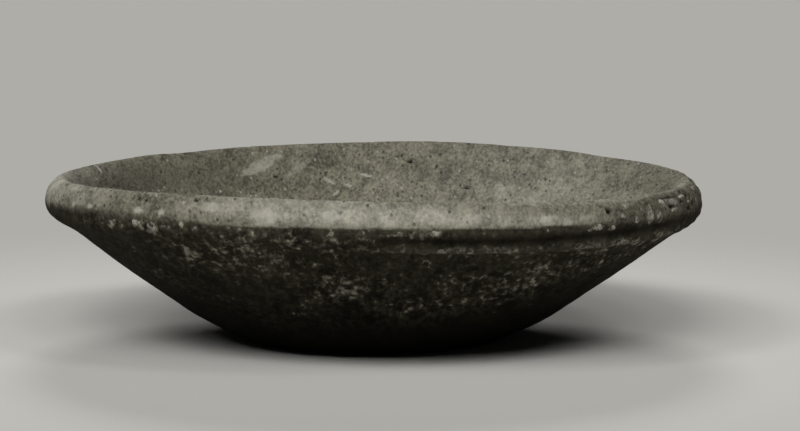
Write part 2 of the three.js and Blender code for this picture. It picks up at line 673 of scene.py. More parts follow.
@dataclass(frozen=True)
class Patch:
    """A broad soft patch on the clay.

    Attributes:
        kind: What it is.
        turn: Angle round from the front, in degrees.
        reach: Distance along the skin from the crest, in millimetres.
        around: How far it spreads round the bowl each way, in degrees.
        along: How far it spreads up and down each way, in millimetres.
        strength: How clearly it shows at its middle, from 0 to 1.
    """

    kind: PatchKind
    turn: float
    reach: float
    around: float
    along: float
    strength: float

    def cover(self, spots: Spots) -> Array:
        """Works out how strong the patch is at each place.

        Args:
            spots: Places on the skin.

        Returns:
            Strengths, which fade to 0 away from the patch.
        """
        aside = (spots.around - self.turn + 180) % 360 - 180
        below = spots.down - self.reach
        return self.strength * np.exp(-(aside / self.around) ** 2 - (below / self.along) ** 2)


rubbed_and_lit_at = partial(Patch, PatchKind.RUBBED_AND_LIT)
shade_and_dark_at = partial(Patch, PatchKind.SHADE_AND_DARK)
flecked_at = partial(Patch, PatchKind.FLECKED)

# The rim's front and the crest on the right, rubbed pale, with painted light at its left end and on the
# inner right wall
RUBBED_AND_LIT_PATCHES = [
    rubbed_and_lit_at(-3, 9.2, 24, 5.2, 0.9),
    rubbed_and_lit_at(-9, 2.5, 18, 3.5, 0.55),
    rubbed_and_lit_at(27, 10.8, 14, 2.4, 0.5),
    rubbed_and_lit_at(-60, 8, 7, 5, 0.3),
    # Painted light: the rim's left end is made paler, as if light from the left fell on it.
    rubbed_and_lit_at(-84, 6, 22, 9, 0.95),
    rubbed_and_lit_at(-60, -2, 20, 5, 0.3),
    rubbed_and_lit_at(74, -2, 9, 3, 0.75),
    rubbed_and_lit_at(36, -1, 18, 5, 0.4),
    rubbed_and_lit_at(138, -7, 26, 7, 0.28),
    # Painted light on the inner right wall, as if light from the left fell on it.
    rubbed_and_lit_at(140, -28, 28, 18, 0.46),
]

# Painted shade on the inner left wall, darker patches on the far inside, and a smear on the rim
SHADE_AND_DARK_PATCHES = [
    # Painted shade on the inner left wall, the side that light from the left leaves in shade.
    shade_and_dark_at(-122, -15, 17, 14, 1.0),
    shade_and_dark_at(-145, -20, 16, 16, 0.6),
    shade_and_dark_at(168, -19, 7, 9, 0.35),
    shade_and_dark_at(178, -5, 50, 5, 0.22),
    shade_and_dark_at(22, 5.5, 9, 2.5, 0.3),
]

# Where pale crust crowds on the smoked outside
FLECKED_PATCHES = [
    flecked_at(-26, 38, 15, 13, 1.0),
    flecked_at(-40, 18, 6, 5, 0.7),
    flecked_at(-12, 22, 18, 9, 0.62),
    flecked_at(8, 22, 8, 8, 0.8),
    flecked_at(40, 25, 14, 7, 0.8),
    flecked_at(42, 42, 13, 10, 0.7),
    flecked_at(-7, 60, 9, 10, 0.8),
    flecked_at(28, 60, 13, 12, 0.8),
    flecked_at(12, 76, 13, 12, 0.45),
    flecked_at(62, 26, 8, 10, 0.8),
    flecked_at(38, 27, 22, 4, 0.7),
    flecked_at(-48, 17, 18, 6, 0.45),
    flecked_at(-24, 26, 14, 9, 0.45),
    flecked_at(58, 8, 13, 6, 0.9),
    flecked_at(-52, 60, 9, 9, 0.4),
    flecked_at(-22, 82, 24, 18, 0.14),
    flecked_at(5, 40, 62, 34, 0.4),
]

# The outside at the back and the sides, which the photograph doesn't show, worn and flecked like the front
BACK_PATCHES = [
    rubbed_and_lit_at(112, 9, 16, 5, 0.5),
    rubbed_and_lit_at(150, 9, 20, 5, 0.75),
    rubbed_and_lit_at(-165, 9, 22, 5, 0.65),
    rubbed_and_lit_at(-125, 9, 16, 5, 0.5),
    flecked_at(84, 44, 14, 24, 0.5),
    flecked_at(112, 34, 20, 22, 0.7),
    flecked_at(150, 48, 22, 26, 0.75),
    flecked_at(-168, 36, 22, 22, 0.7),
    flecked_at(-126, 46, 22, 26, 0.75),
    flecked_at(-90, 36, 16, 22, 0.45),
]


@dataclass(frozen=True)
class Swell:
    """A slow rise or dip of the rim.

    Attributes:
        turn: Angle round from the front, in degrees.
        spread: How far it reaches each way, in degrees.
        height: Its height, in millimetres, below zero for a dip.
        reach: Distance of its middle along the skin from the crest, in millimetres.
    """

    turn: float
    spread: float
    height: float
    reach: float = 0.0

    # How far a swell reaches up and down the rim, in millimetres
    LENGTH = 11

    def rise(self, spots: Spots) -> Array:
        """Works out how high the swell stands at each place, in millimetres."""
        aside = (spots.around - self.turn) / self.spread
        return self.height * np.exp(-aside ** 2 - ((spots.down - self.reach) / self.LENGTH) ** 2)


RIM_SWELLS = [
    Swell(90, 24, 1.2, reach=8.5),
    Swell(-92, 24, -0.4, reach=5),
    Swell(34, 9, -0.5),
    Swell(56, 8, 0.35),
    Swell(128, 9, -0.7),
    Swell(169, 12, 0.5),
    Swell(-131, 6, 0.5),
    Swell(-140, 6, -0.45),
]


@dataclass(frozen=True)
class SootAndShade:
    """The soot on the outside, below a ragged line, darkened further as painted shade, in millimetres and
    degrees.

    Attributes:
        reach: Where the line runs, along the skin from the crest.
        front: Angles between which it is crisp, under the rim's front, where its edge is a painted shadow
            edge under the rim.
        front_drop: How much lower it runs there.
        front_tilt: How much that drop lessens with each degree to the right.
        left: Angles between which it runs lower at the left end, keeping more of that end pale as painted
            light.
        left_drop: How much lower it runs there.
        waver: How far it wavers.
        front_steady: How much less it wavers where it is crisp.
        fade: Over what length the soot and painted shade set in.
        front_sharp: How much shorter that is where the line is crisp.
        left_sharp: How much shorter that is at the left end.
        underside: Where the soot and painted shade weaken under the base.
        underside_loss: Share of the soot and painted shade that is missing there.
    """

    reach: float = 11.4
    front: Band = (-40, -22, 32, 46)
    front_drop: float = 2.6
    front_tilt: float = 0.035
    left: Band = (-130, -95, -75, -55)
    left_drop: float = 1.0
    waver: float = 1.6
    front_steady: float = 0.9
    fade: float = 4.6
    front_sharp: float = 3.4
    left_sharp: float = 0.6
    underside: Pair = (128, 140)
    underside_loss: float = 0.75

    def cover(self, spots: Spots, ragged: Array) -> Array:
        """Works out how much soot and painted shade each place has.

        Args:
            spots: Places on the skin.
            ragged: Raggedness of the line.

        Returns:
            Shares from 0, above the line, to 1.
        """
        crisp = band(spots.around, *self.front)
        left = band(spots.around, *self.left)
        waver = self.waver - self.front_steady * crisp
        fade = self.fade - self.front_sharp * crisp - self.left_sharp * left
        drop = crisp * (self.front_drop - self.front_tilt * spots.around) + self.left_drop * left
        line = self.reach + drop - waver * ragged
        left_over = 1 - self.underside_loss * ramp(spots.down, *self.underside)
        return ramp((spots.down - line) / fade, 0.0, 1.0) * left_over


@dataclass(frozen=True)
class RoughEnd:
    """The rough right end below a ledge, in degrees and, unless it says so, in millimetres.

    Attributes:
        lumps: Its lumps, in metres.
        ledge: Depth of the ledge, in metres.
        ledge_reach: Where the ledge runs at the right, along the skin from the crest.
        ledge_turn: Angle from which it falls towards the front.
        ledge_span: How many degrees on from there it stops falling.
        ledge_fall: How much it falls with each degree.
        ledge_edge: Distances below the ledge between which the roughness sets in.
        ledge_waver: How far that wavers.
        lower_end: Where the roughness fades towards the wall, along the skin from the crest.
        side: Angles between which it shows.
        side_waver: How far its front end wavers.
    """

    lumps: Lumps = Lumps(0.8 * MM, 5 * MM, 3, 14)
    ledge: float = 0.5 * MM
    ledge_reach: float = 2.0
    ledge_turn: float = 57
    ledge_span: float = 30
    ledge_fall: float = 0.48
    ledge_edge: Pair = (-0.8, 1.2)
    ledge_waver: float = 1.2
    lower_end: Pair = (22, 34)
    side: Band = (36, 50, 100, 140)
    side_waver: float = 4

    def cover(self, spots: Spots, ragged: Array) -> Array:
        """Works out how rough each place is.

        Args:
            spots: Places on the skin.
            ragged: Raggedness of its edges.

        Returns:
            Shares from 0 to 1.
        """
        start, full, fade, end = self.side
        fall = self.ledge_fall * np.clip(self.ledge_turn - spots.around, 0, self.ledge_span)
        below = spots.down + self.ledge_waver * ragged - (self.ledge_reach + fall)
        shown = ramp(below, *self.ledge_edge) * (1 - ramp(spots.down, *self.lower_end))
        front_end = ramp(spots.around + self.side_waver * ragged, start, full)
        return shown * front_end * (1 - ramp(spots.around, fade, end))


@dataclass
class Relief:
    """The unevenness of the clay: lumps, grain, turning lines, pits and single marks, in metres.

    Angles round from the front are in degrees.

    Attributes:
        marks: Marks that stand out.
        patches: Broad patches of the clay.
        swells: Slow rises and dips of the rim.
        broad: The broadest lumps.
        lump: Lumps as broad as a finger.
        grain: Fine grain.
        soot_and_shade_line: The soot on the outside, with painted shade over it.
        rough_end: The rough right end.
        broken: Gaps in the bead's crust.
        broken_range: Values of those between which the crust sets in.
        ragged: Raggedness of the stains' edges.
        fray: Raggedness of the marks' edges.
        off_ground: Height over which the lumps set in above the level underside.
        turning: Height of the turning lines.
        turning_pitch: Distance from one turning line to the next.
        turning_sway: How far the turning lines sway up and down.
        turning_sways: How often they sway on the way round.
        turning_reach: Where they show on the rim's top.
        turning_side: Angles between which they show there.
        inside_turning: Share of their height that the fainter lines inside have.
        inside_start: Depths inside between which those set in.
        bead: Height of the bead under the rim's right front.
        bead_reach: Where it runs.
        bead_width: How wide it is, each way.
        bead_climb: How much it climbs with each degree.
        bead_level: Angle up to which it runs level.
        bead_climb_end: How many degrees past that it stops climbing.
        bead_side: Angles between which bead and groove show.
        bead_crust: How clearly the crust on the bead shows.
        bead_wear: Share of the soot and painted shade that the worn bead is spared.
        groove: Depth of the groove over the bead.
        groove_offset: Distance from the bead up to the groove.
        groove_shade: How dark the groove is painted, as painted shade in its hollow.
        groove_clean: Share of the flecks that is missing in the groove.
        rubbed_and_lit_ragged: How ragged the rubbed and painted-lit patches are.
        pit_depth: Depth of the scattered pits.
        pit_cell: Distance between them, if all were there.
        pit_share: Share of them that are there.
        pit_radius: Smallest and largest radius.
        pit_seed: Seed of their places.
        wall_belly: Fullness of the wall.
        belly_reach: Where the wall is fullest.
        belly_spread: How far that reaches each way.
        belly_lean: How much fuller the left side is than the front.
    """

    marks: list[Mark]
    patches: list[Patch]
    swells: list[Swell]
    broad: Lumps = Lumps(0.3 * MM, 62 * MM, 2, 11)
    lump: Lumps = Lumps(0.16 * MM, 11 * MM, 3, 12)
    grain: Lumps = Lumps(0.06 * MM, 2.4 * MM, 1, 13)
    soot_and_shade_line: SootAndShade = SootAndShade()
    rough_end: RoughEnd = RoughEnd()
    broken: Lumps = Lumps(1.0, 4 * MM, 2, 22)
    broken_range: Pair = (-0.25, 0.35)
    ragged: Lumps = Lumps(1.0, 9 * MM, 3, 31)
    fray: Lumps = Lumps(0.7, 2.6 * MM, 2, 41)
    off_ground: float = 2 * MM
    turning: float = 0.16 * MM
    turning_pitch: float = 3.4 * MM
    turning_sway: float = 0.6 * MM
    turning_sways: int = 3
    turning_reach: Band = (-6 * MM, -2 * MM, 7 * MM, 10 * MM)
    turning_side: Band = (6, 20, 48, 70)
    inside_turning: float = 0.12
    inside_start: Pair = (4 * MM, 12 * MM)
    bead: float = 1.0 * MM
    bead_reach: float = 27.3 * MM
    bead_width: float = 2.7 * MM
    bead_climb: float = 0.12 * MM
    bead_level: float = 23
    bead_climb_end: float = 50
    bead_side: Band = (-5, 9, 58, 74)
    bead_crust: float = 0.55
    bead_wear: float = 0.35
    groove: float = 1.1 * MM
    groove_offset: float = 6.0 * MM
    groove_shade: float = 0.5
    groove_clean: float = 0.85
    rubbed_and_lit_ragged: float = 0.25
    pit_depth: float = 0.6 * MM
    pit_cell: float = 9 * MM
    pit_share: float = 0.22
    pit_radius: Pair = (0.8 * MM, 1.7 * MM)
    pit_seed: int = 21
    wall_belly: float = 0.55 * MM
    belly_reach: float = 62 * MM
    belly_spread: float = 25 * MM
    belly_lean: float = 0.5

    def measure(self, spots: Spots) -> dict[str, Array]:
        """Works out how far each place stands out, and what covers it.

        Args:
            spots: Places on the skin.

        Returns:
            The stand-out heights under "rise", and the masks that the finish reads.
        """
        masks = self._stains(spots)
        pits = Noise(self.pit_seed).pits(spots.drawn, self.pit_cell, self.pit_share, self.pit_radius)
        pits *= self._above_ground(spots)
        rise = self._lumps(spots, masks["rough"]) + self._turned_lines(spots)
        rise += self._hand_shaping(spots) - self.rough_end.ledge * masks["rough"]
        on_bead, in_groove = self._bead_and_groove(spots)
        masks["rise"] = rise - self.pit_depth * pits
        # Pits and the groove are painted dark: painted shade in their hollows.
        masks["pit_and_groove_shade"] = np.maximum(pits, self.groove_shade * in_groove)
        masks["scraped"] = np.zeros(len(rise))
        crust_left = ramp(self.broken.rise(spots.drawn), *self.broken_range)
        masks["crusted"] = self.bead_crust * crust_left * on_bead ** 0.5
        self._add_marks(masks, spots)
        return masks

    def _above_ground(self, spots: Spots) -> Array:
        """Spares the flat underside, which stays level."""
        return ramp(spots.points[:, 2], 0.0, self.off_ground)

    def _lumps(self, spots: Spots, rough: Array) -> Array:
        """Adds up the lumps and grain.

        Args:
            spots: Places on the skin.
            rough: How rough each place is.

        Returns:
            Heights.
        """
        rise = self.broad.rise(spots.points) + self.lump.rise(spots.drawn) + self.grain.rise(spots.drawn)
        rise += rough * self.rough_end.lumps.rise(spots.drawn)
        return rise * self._above_ground(spots)

    def _turned_lines(self, spots: Spots) -> Array:
        """Raises the turning lines on the rim's right front, and fainter ones inside.

        Args:
            spots: Places on the skin.

        Returns:
            Heights.
        """
        swaying = spots.reach + self.turning_sway * np.sin(spots.turn * self.turning_sways)
        wave = np.sin(swaying * 2 * math.pi / self.turning_pitch)
        on_rim = band(spots.around, *self.turning_side) * band(spots.reach, *self.turning_reach)
        inside = self.inside_turning * ramp(-spots.reach, *self.inside_start)
        return self.turning * wave * np.maximum(on_rim, inside)

    def _hand_shaping(self, spots: Spots) -> Array:
        """Adds the wall's belly, the rim's swells, and the bead and groove under it.

        Args:
            spots: Places on the skin.

        Returns:
            Heights.
        """
        on_bead, in_groove = self._bead_and_groove(spots)
        rise = self.bead * on_bead - self.groove * in_groove
        belly = np.exp(-((spots.reach - self.belly_reach) / self.belly_spread) ** 2)
        rise += self.wall_belly * belly * (1 - self.belly_lean * np.sin(spots.turn))
        for swell in self.swells:
            rise += swell.rise(spots) * MM
        return rise

    def _bead_and_groove(self, spots: Spots) -> tuple[Array, Array]:
        """Finds the bead, which climbs towards the right end, and the groove over it.

        Args:
            spots: Places on the skin.

        Returns:
            Shares of the bead and of the groove at each place.
        """
        climb = self.bead_climb * np.clip(spots.around - self.bead_level, 0, self.bead_climb_end)
        off_bead = (spots.reach - (self.bead_reach - climb)) / self.bead_width
        off_groove = off_bead + self.groove_offset / self.bead_width
        side = band(spots.around, *self.bead_side)
        return side * np.exp(-off_bead ** 2), side * np.exp(-off_groove ** 2)

    def _stains(self, spots: Spots) -> dict[str, Array]:
        """Works out where the clay has soot and painted shade, is rough, is rubbed pale or painted lit, has
        painted shade or darker patches inside, or is flecked.

        Args:
            spots: Places on the skin.

        Returns:
            The masks, by name.
        """
        ragged = self.ragged.rise(spots.points)
        on_bead, in_groove = self._bead_and_groove(spots)
        # Soot on the outside, darkened further as painted shade, taken partly off the bead.
        soot_and_shade = self.soot_and_shade_line.cover(spots, ragged) * (1 - self.bead_wear * on_bead)
        masks = {"soot_and_shade": soot_and_shade, "rough": self.rough_end.cover(spots, ragged)}
        for kind in PatchKind:
            bare = [1 - patch.cover(spots) for patch in self.patches if patch.kind is kind]
            masks[kind.value] = 1 - np.prod(bare, axis=0)
        masks["rubbed_and_lit"] *= (1 - soot_and_shade) * (1 + self.rubbed_and_lit_ragged * ragged)
        masks["flecked"] *= 1 - self.groove_clean * in_groove
        return masks

    def _add_marks(self, masks: dict[str, Array], spots: Spots) -> None:
        """Sinks or raises the single marks and adds them to the masks.

        Args:
            masks: The heights and the masks, which are changed.
            spots: Places on the skin.
        """
        fray = self.fray.rise(spots.points)
        for mark in self.marks:
            cover = mark.cover(spots, fray)
            mask = mark.kind.value
            masks["rise"] -= mark.depth * MM * cover
            masks[mask] = np.maximum(masks[mask], mark.strength * cover)


class ClayMember:
    """One member of the bowl: an outline turned about the axis, with the clay's unevenness.

    Attributes:
        STEPS_ROUND: How many points lie round the axis.
        MERGE: Distance within which two points become one.
        JOINT_EDGES: Names of the skin's points at the edges of the hidden joints.
    """

    STEPS_ROUND = 900
    MERGE = 0.001 * MM
    JOINT_EDGES = ("slab_outside", "hollow", "fold", "slab_inside")

    def __init__(self, name: str, node: str, slot: Slot, skin: Skin, relief: Relief) -> None:
        """Keeps what the member is made from.

        Args:
            name: Name of the piece.
            node: CAD node that it stands for.
            slot: The record's finish.
            skin: The bowl's outline.
            relief: The clay's unevenness.
        """
        self.name = name
        self.node = node
        self.slot = slot
        self.skin = skin
        self.relief = relief

    def outline(self) -> Outline:
        """Lists the points of the member's closed outline."""
        raise NotImplementedError

    def visible(self, first: str, last: str) -> Outline:
        """Lists a stretch of the skin.

        Args:
            first: Name of its first point.
            last: Name of its last point.

        Returns:
            The points with their ranks.
        """
        places = self.skin.places
        return [(self.skin.points[k], k) for k in range(places[first], places[last] + 1)]

    def build(self) -> bpy.types.Object:
        """Models the member.

        Returns:
            The finished piece.
        """
        outline = self.outline()
        piece = self._extrude_outline([point for point, _ in outline])
        self._keep_ranks(piece, outline)
        self._turn(piece)
        self._uneven(piece)
        return piece

    def _extrude_outline(self, points: list[Vector]) -> bpy.types.Object:
        """Draws the outline as a chain of edges, extruded point by point from one corner.

        Args:
            points: The outline, as radius and height.

        Returns:
            The new piece.
        """
        bpy.ops.object.select_all(action="DESELECT")
        bpy.ops.mesh.primitive_plane_add(size=MM, location=(0, 0, 0))
        piece = bpy.context.active_object
        piece.name = piece.data.name = self.name
        bpy.ops.object.mode_set(mode="EDIT")
        bpy.ops.mesh.select_all(action="SELECT")
        bpy.ops.mesh.merge(type="CENTER")
        bpy.ops.transform.translate(value=(points[0].x, 0, points[0].y))
        for here, there in zip(points, points[1:]):
            step = (there.x - here.x, 0, there.y - here.y)
            bpy.ops.mesh.extrude_vertices_move(TRANSFORM_OT_translate={"value": step})
        if points[0].x > self.MERGE:
            bpy.ops.mesh.select_all(action="SELECT")
            bpy.ops.mesh.remove_doubles(threshold=self.MERGE)
        bpy.ops.object.mode_set(mode="OBJECT")
        return piece

    def _keep_ranks(self, piece: bpy.types.Object, outline: Outline) -> None:
        """Writes each point's rank on the skin into the mesh, where turning carries it along.

        Args:
            piece: The outline's piece.
            outline: The points with their ranks.
        """
        track = np.array([tuple(point) for point, _ in outline])
        ranks = np.array([rank for _, rank in outline], np.int32)
        spots = np.array([(vertex.co.x, vertex.co.z) for vertex in piece.data.vertices])
        nearest = np.linalg.norm(spots[:, None] - track[None], axis=2).argmin(axis=1)
        attribute = piece.data.attributes.new("rank", "INT", "POINT")
        attribute.data.foreach_set("value", ranks[nearest])

    def _turn(self, piece: bpy.types.Object) -> None:
        """Turns the outline into a closed ring or disc, with faces pointing out.

        Args:
            piece: The outline's piece.
        """
        screw = piece.modifiers.new("turned", "SCREW")
        screw.axis = "Z"
        screw.angle = 2 * math.pi
        screw.steps = screw.render_steps = self.STEPS_ROUND
        screw.use_merge_vertices = True
        screw.merge_threshold = self.MERGE
        bpy.ops.object.modifier_apply(modifier=screw.name)
        bpy.ops.object.mode_set(mode="EDIT")
        bpy.ops.mesh.select_all(action="SELECT")
        bpy.ops.mesh.remove_doubles(threshold=self.MERGE)
        bpy.ops.mesh.normals_make_consistent(inside=False)
        bpy.ops.object.mode_set(mode="OBJECT")

    def _uneven(self, piece: bpy.types.Object) -> None:
        """Gives the skin its unevenness and the rim's waver, and keeps the masks for the finish.

        Args:
            piece: The turned piece.
        """
        mesh = piece.data
        count = len(mesh.vertices)
        places = np.empty(count * 3)
        mesh.vertices.foreach_get("co", places)
        places = places.reshape(-1, 3)
        ranks = np.empty(count, np.int32)
        mesh.attributes["rank"].data.foreach_get("value", ranks)
        shown = ranks >= 0
        turn = np.arctan2(places[:, 0], -places[:, 1])
        spots = Spots(places.copy(), turn, self.skin.reach[ranks])
        masks = self.relief.measure(spots)
        rise = np.where(shown, masks.pop("rise"), 0.0)
        normal = self.skin.normals[ranks]
        moved_radius = spots.radius + rise * normal[:, 0] * (spots.radius > MM)
        places[:, 0] = moved_radius * np.sin(turn)
        places[:, 1] = -moved_radius * np.cos(turn)
        places[:, 2] += rise * normal[:, 1] + self.skin.form.waver(spots.radius, turn)
        mesh.vertices.foreach_set("co", places.ravel())
        self._sharpen_joints(mesh, ranks)
        mesh.attributes.remove(mesh.attributes["rank"])
        for name, values in masks.items():
            attribute = mesh.attributes.new(name, "FLOAT", "POINT")
            attribute.data.foreach_set("value", np.where(shown, values, 0.0))
        mesh.update()

    def _sharpen_joints(self, mesh: bpy.types.Mesh, ranks: Array) -> None:
        """Smooths the skin and keeps it apart from the hidden joint faces.

        Args:
            mesh: The turned mesh.
            ranks: Each point's rank on the skin.
        """
        bpy.ops.object.shade_smooth()
        corners = np.array([self.skin.places[name] for name in self.JOINT_EDGES])
        ends = np.empty(len(mesh.edges) * 2, np.int32)
        mesh.edges.foreach_get("vertices", ends)
        ends = ranks[ends.reshape(-1, 2)]
        sharp = (ends[:, 0] == ends[:, 1]) & np.isin(ends[:, 0], corners)
        attribute = mesh.attributes.get("sharp_edge")
        if attribute is None:
            attribute = mesh.attributes.new("sharp_edge", "BOOLEAN", "EDGE")
        attribute.data.foreach_set("value", sharp)

    def place(self, piece: bpy.types.Object) -> None:
        """Puts the piece in the place of its CAD node.

        Args:
            piece: The finished piece.
        """
        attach(piece, "root")
        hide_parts(self.node)


class FloorSlab(ClayMember):
    """The flat floor with its edge turned up into the wall."""

    def outline(self) -> Outline:
        """Lists the slab's outline: underside, turned-up edge, bevelled joint and inside."""
        outside = self.visible("underside_middle", "slab_outside")
        return outside + self.visible("slab_inside", "floor_middle")


class FlaringWall(ClayMember):
    """The straight wall between slab and rim."""

    def outline(self) -> Outline:
        """Lists the wall's outline.

        Returns:
            Its outer face, the tongue under the roll, its inner face and its bevelled foot.
        """
        tongue = [(point, -1) for point in self.skin.form.saddle_joint()]
        ring = self.visible("slab_outside", "hollow") + tongue + self.visible("fold", "slab_inside")
        return ring + ring[:1]


class RimRoll(ClayMember):
    """The heavy roll over the wall's top edge."""

    def outline(self) -> Outline:
        """Lists the roll's outline.

        Returns:
            Its underside, edge, crest and lip, and the slot for the wall's tongue.
        """
        slot = [(point, -1) for point in reversed(self.skin.form.saddle_joint())]
        ring = self.visible("hollow", "fold") + slot
        return ring + ring[:1]


class NodeBoard:
    """Places a material's shader nodes and joins them."""

    def __init__(self, name: str) -> None:
        """Makes a material with a plain surface shader.

        Args:
            name: Its name.
        """
        self.material = bpy.data.materials.new(name)
        self.material.use_nodes = True
        self.tree = self.material.node_tree
        self.shader = self.tree.nodes["Principled BSDF"]
        self.coords = self.tree.nodes.new("ShaderNodeTexCoord").outputs["Object"]
        drawn = self.tree.nodes.new("ShaderNodeVectorMath")
        drawn.operation = "MULTIPLY"
        drawn.inputs[1].default_value = GRAIN_DRAW
        self.join(self.coords, drawn.inputs[0])
        self.drawn = drawn.outputs["Vector"]

    def join(self, source: Socket, target: Socket) -> None:
        """Joins two sockets."""
        self.tree.links.new(source, target)

    def _feed(self, target: Socket, value: object) -> None:
        """Joins a socket, or sets a plain value.

        Args:
            target: The socket that takes it.
            value: A socket or a plain value.
        """
        if isinstance(value, Socket):
            self.join(value, target)
        else:
            target.default_value = value

    def noise(self, size: float, detail: float = 3.0, roughness: float = 0.55) -> Socket:
        """Adds noise.

        Args:
            size: Size of its lumps, in metres.
            detail: How many finer sizes are added.
            roughness: How strong the finer sizes are.

        Returns:
            A value from 0 to 1.
        """
        node = self.tree.nodes.new("ShaderNodeTexNoise")
        self.join(self.drawn, node.inputs["Vector"])
        node.inputs["Scale"].default_value = 1 / size
        node.inputs["Detail"].default_value = detail
        node.inputs["Roughness"].default_value = roughness
        return node.outputs["Fac"]

    def attribute(self, name: str) -> Socket:
        """Reads one of the mesh's masks.

        Args:
            name: Its name.

        Returns:
            Its value.
        """
        node = self.tree.nodes.new("ShaderNodeAttribute")
        node.attribute_type = "GEOMETRY"
        node.attribute_name = name
        return node.outputs["Fac"]

    def math(self, operation: str, *values: object) -> Socket:
        """Works out a sum, product or other result.

        Args:
            operation: Name of the operation.
            *values: What it is worked out from.

        Returns:
            The result.
        """
        node = self.tree.nodes.new("ShaderNodeMath")
        node.operation = operation
        for target, value in zip(node.inputs, values):
            self._feed(target, value)
        return node.outputs[0]

    def times(self, first: object, second: object) -> Socket:
        """Multiplies two values."""
        return self.math("MULTIPLY", first, second)

    def weigh(self, *terms: tuple[Socket, float]) -> Socket:
        """Adds up values, each times its weight.

        Args:
            *terms: Values with their weights.

        Returns:
            The sum.
        """
        total: object = 0.0
        for value, weight in terms:
            total = self.math("MULTIPLY_ADD", value, weight, total)
        return total

    def step(
        self, value: object, low: object, high: object, start: float = 0.0, end: float = 1.0
    ) -> Socket:
        """Eases between two values.

        Args:
            value: What it follows.
            low: Where it begins.
            high: Where it ends.
            start: Result up to the low end.
            end: Result from the high end.

        Returns:
            The eased value.
        """
        node = self.tree.nodes.new("ShaderNodeMapRange")
        node.interpolation_type = "SMOOTHSTEP"
        self._feed(node.inputs["Value"], value)
        self._feed(node.inputs["From Min"], low)
        self._feed(node.inputs["From Max"], high)
        node.inputs["To Min"].default_value = start
        node.inputs["To Max"].default_value = end
        return node.outputs["Result"]

    def height(self) -> Socket:
        """Reads the height above the ground.

        Returns:
            The height, in metres.
        """
        node = self.tree.nodes.new("ShaderNodeSeparateXYZ")
        self.join(self.coords, node.inputs[0])
        return node.outputs["Z"]

    def distance(self) -> Socket:
        """Reads the distance from the origin.

        Returns:
            The distance, in metres.
        """
        node = self.tree.nodes.new("ShaderNodeVectorMath")
        node.operation = "LENGTH"
        self.join(self.coords, node.inputs[0])
        return node.outputs["Value"]

    def cells(self, size: float) -> tuple[Socket, Socket]:
        """Scatters cells.

        Args:
            size: Their size, in metres.

        Returns:
            The distance to the nearest cell's middle, in cell sizes, and that cell's chance from 0 to 1.
        """
        node = self.tree.nodes.new("ShaderNodeTexVoronoi")
        self.join(self.drawn, node.inputs["Vector"])
        node.inputs["Scale"].default_value = 1 / size
        chance = self.tree.nodes.new("ShaderNodeSeparateColor")
        self.join(node.outputs["Color"], chance.inputs[0])
        return node.outputs["Distance"], chance.outputs[0]

    def bump(self, height: Socket) -> None:
        """Gives the surface a fine relief.

        Args:
            height: Its height, in millimetres.
        """
        node = self.tree.nodes.new("ShaderNodeBump")
        node.inputs["Strength"].default_value = 1.0
        node.inputs["Distance"].default_value = MM
        self.join(height, node.inputs["Height"])
        self.join(node.outputs["Normal"], self.shader.inputs["Normal"])

    def blend(self, share: object, below: object, above: object) -> Socket:
        """Lays one colour over another.

        Args:
            share: How much of the upper colour shows.
            below: The lower colour.
            above: The upper colour.

        Returns:
            The mixed colour.
        """
        node = self.tree.nodes.new("ShaderNodeMix")
        node.data_type = "RGBA"
        self._feed(node.inputs["Factor"], share)
        self._feed(node.inputs["A"], below)
        self._feed(node.inputs["B"], above)
        return node.outputs["Result"]


def warm_grey(level: float, warmth: float) -> tuple[float, float, float, float]:
    """Makes a warm grey.

    Args:
        level: Its brightness.
        warmth: How far blue falls short, as a share.

    Returns:
        The colour.
    """
    return (level * (1 + warmth / 4), level, level * (1 - warmth), 1.0)


@dataclass(frozen=True)
class Tone:
    """A mottled warm grey.

    Attributes:
        dark: Its lowest brightness.
        light: Its highest brightness.
        warmth: How far blue falls short, as a share.
    """

    dark: float
    light: float
    warmth: float

    def mottle(self, board: NodeBoard, share: Socket) -> Socket:
        """Mottles between the two brightnesses."""
        return board.blend(share, warm_grey(self.dark, self.warmth), warm_grey(self.light, self.warmth))


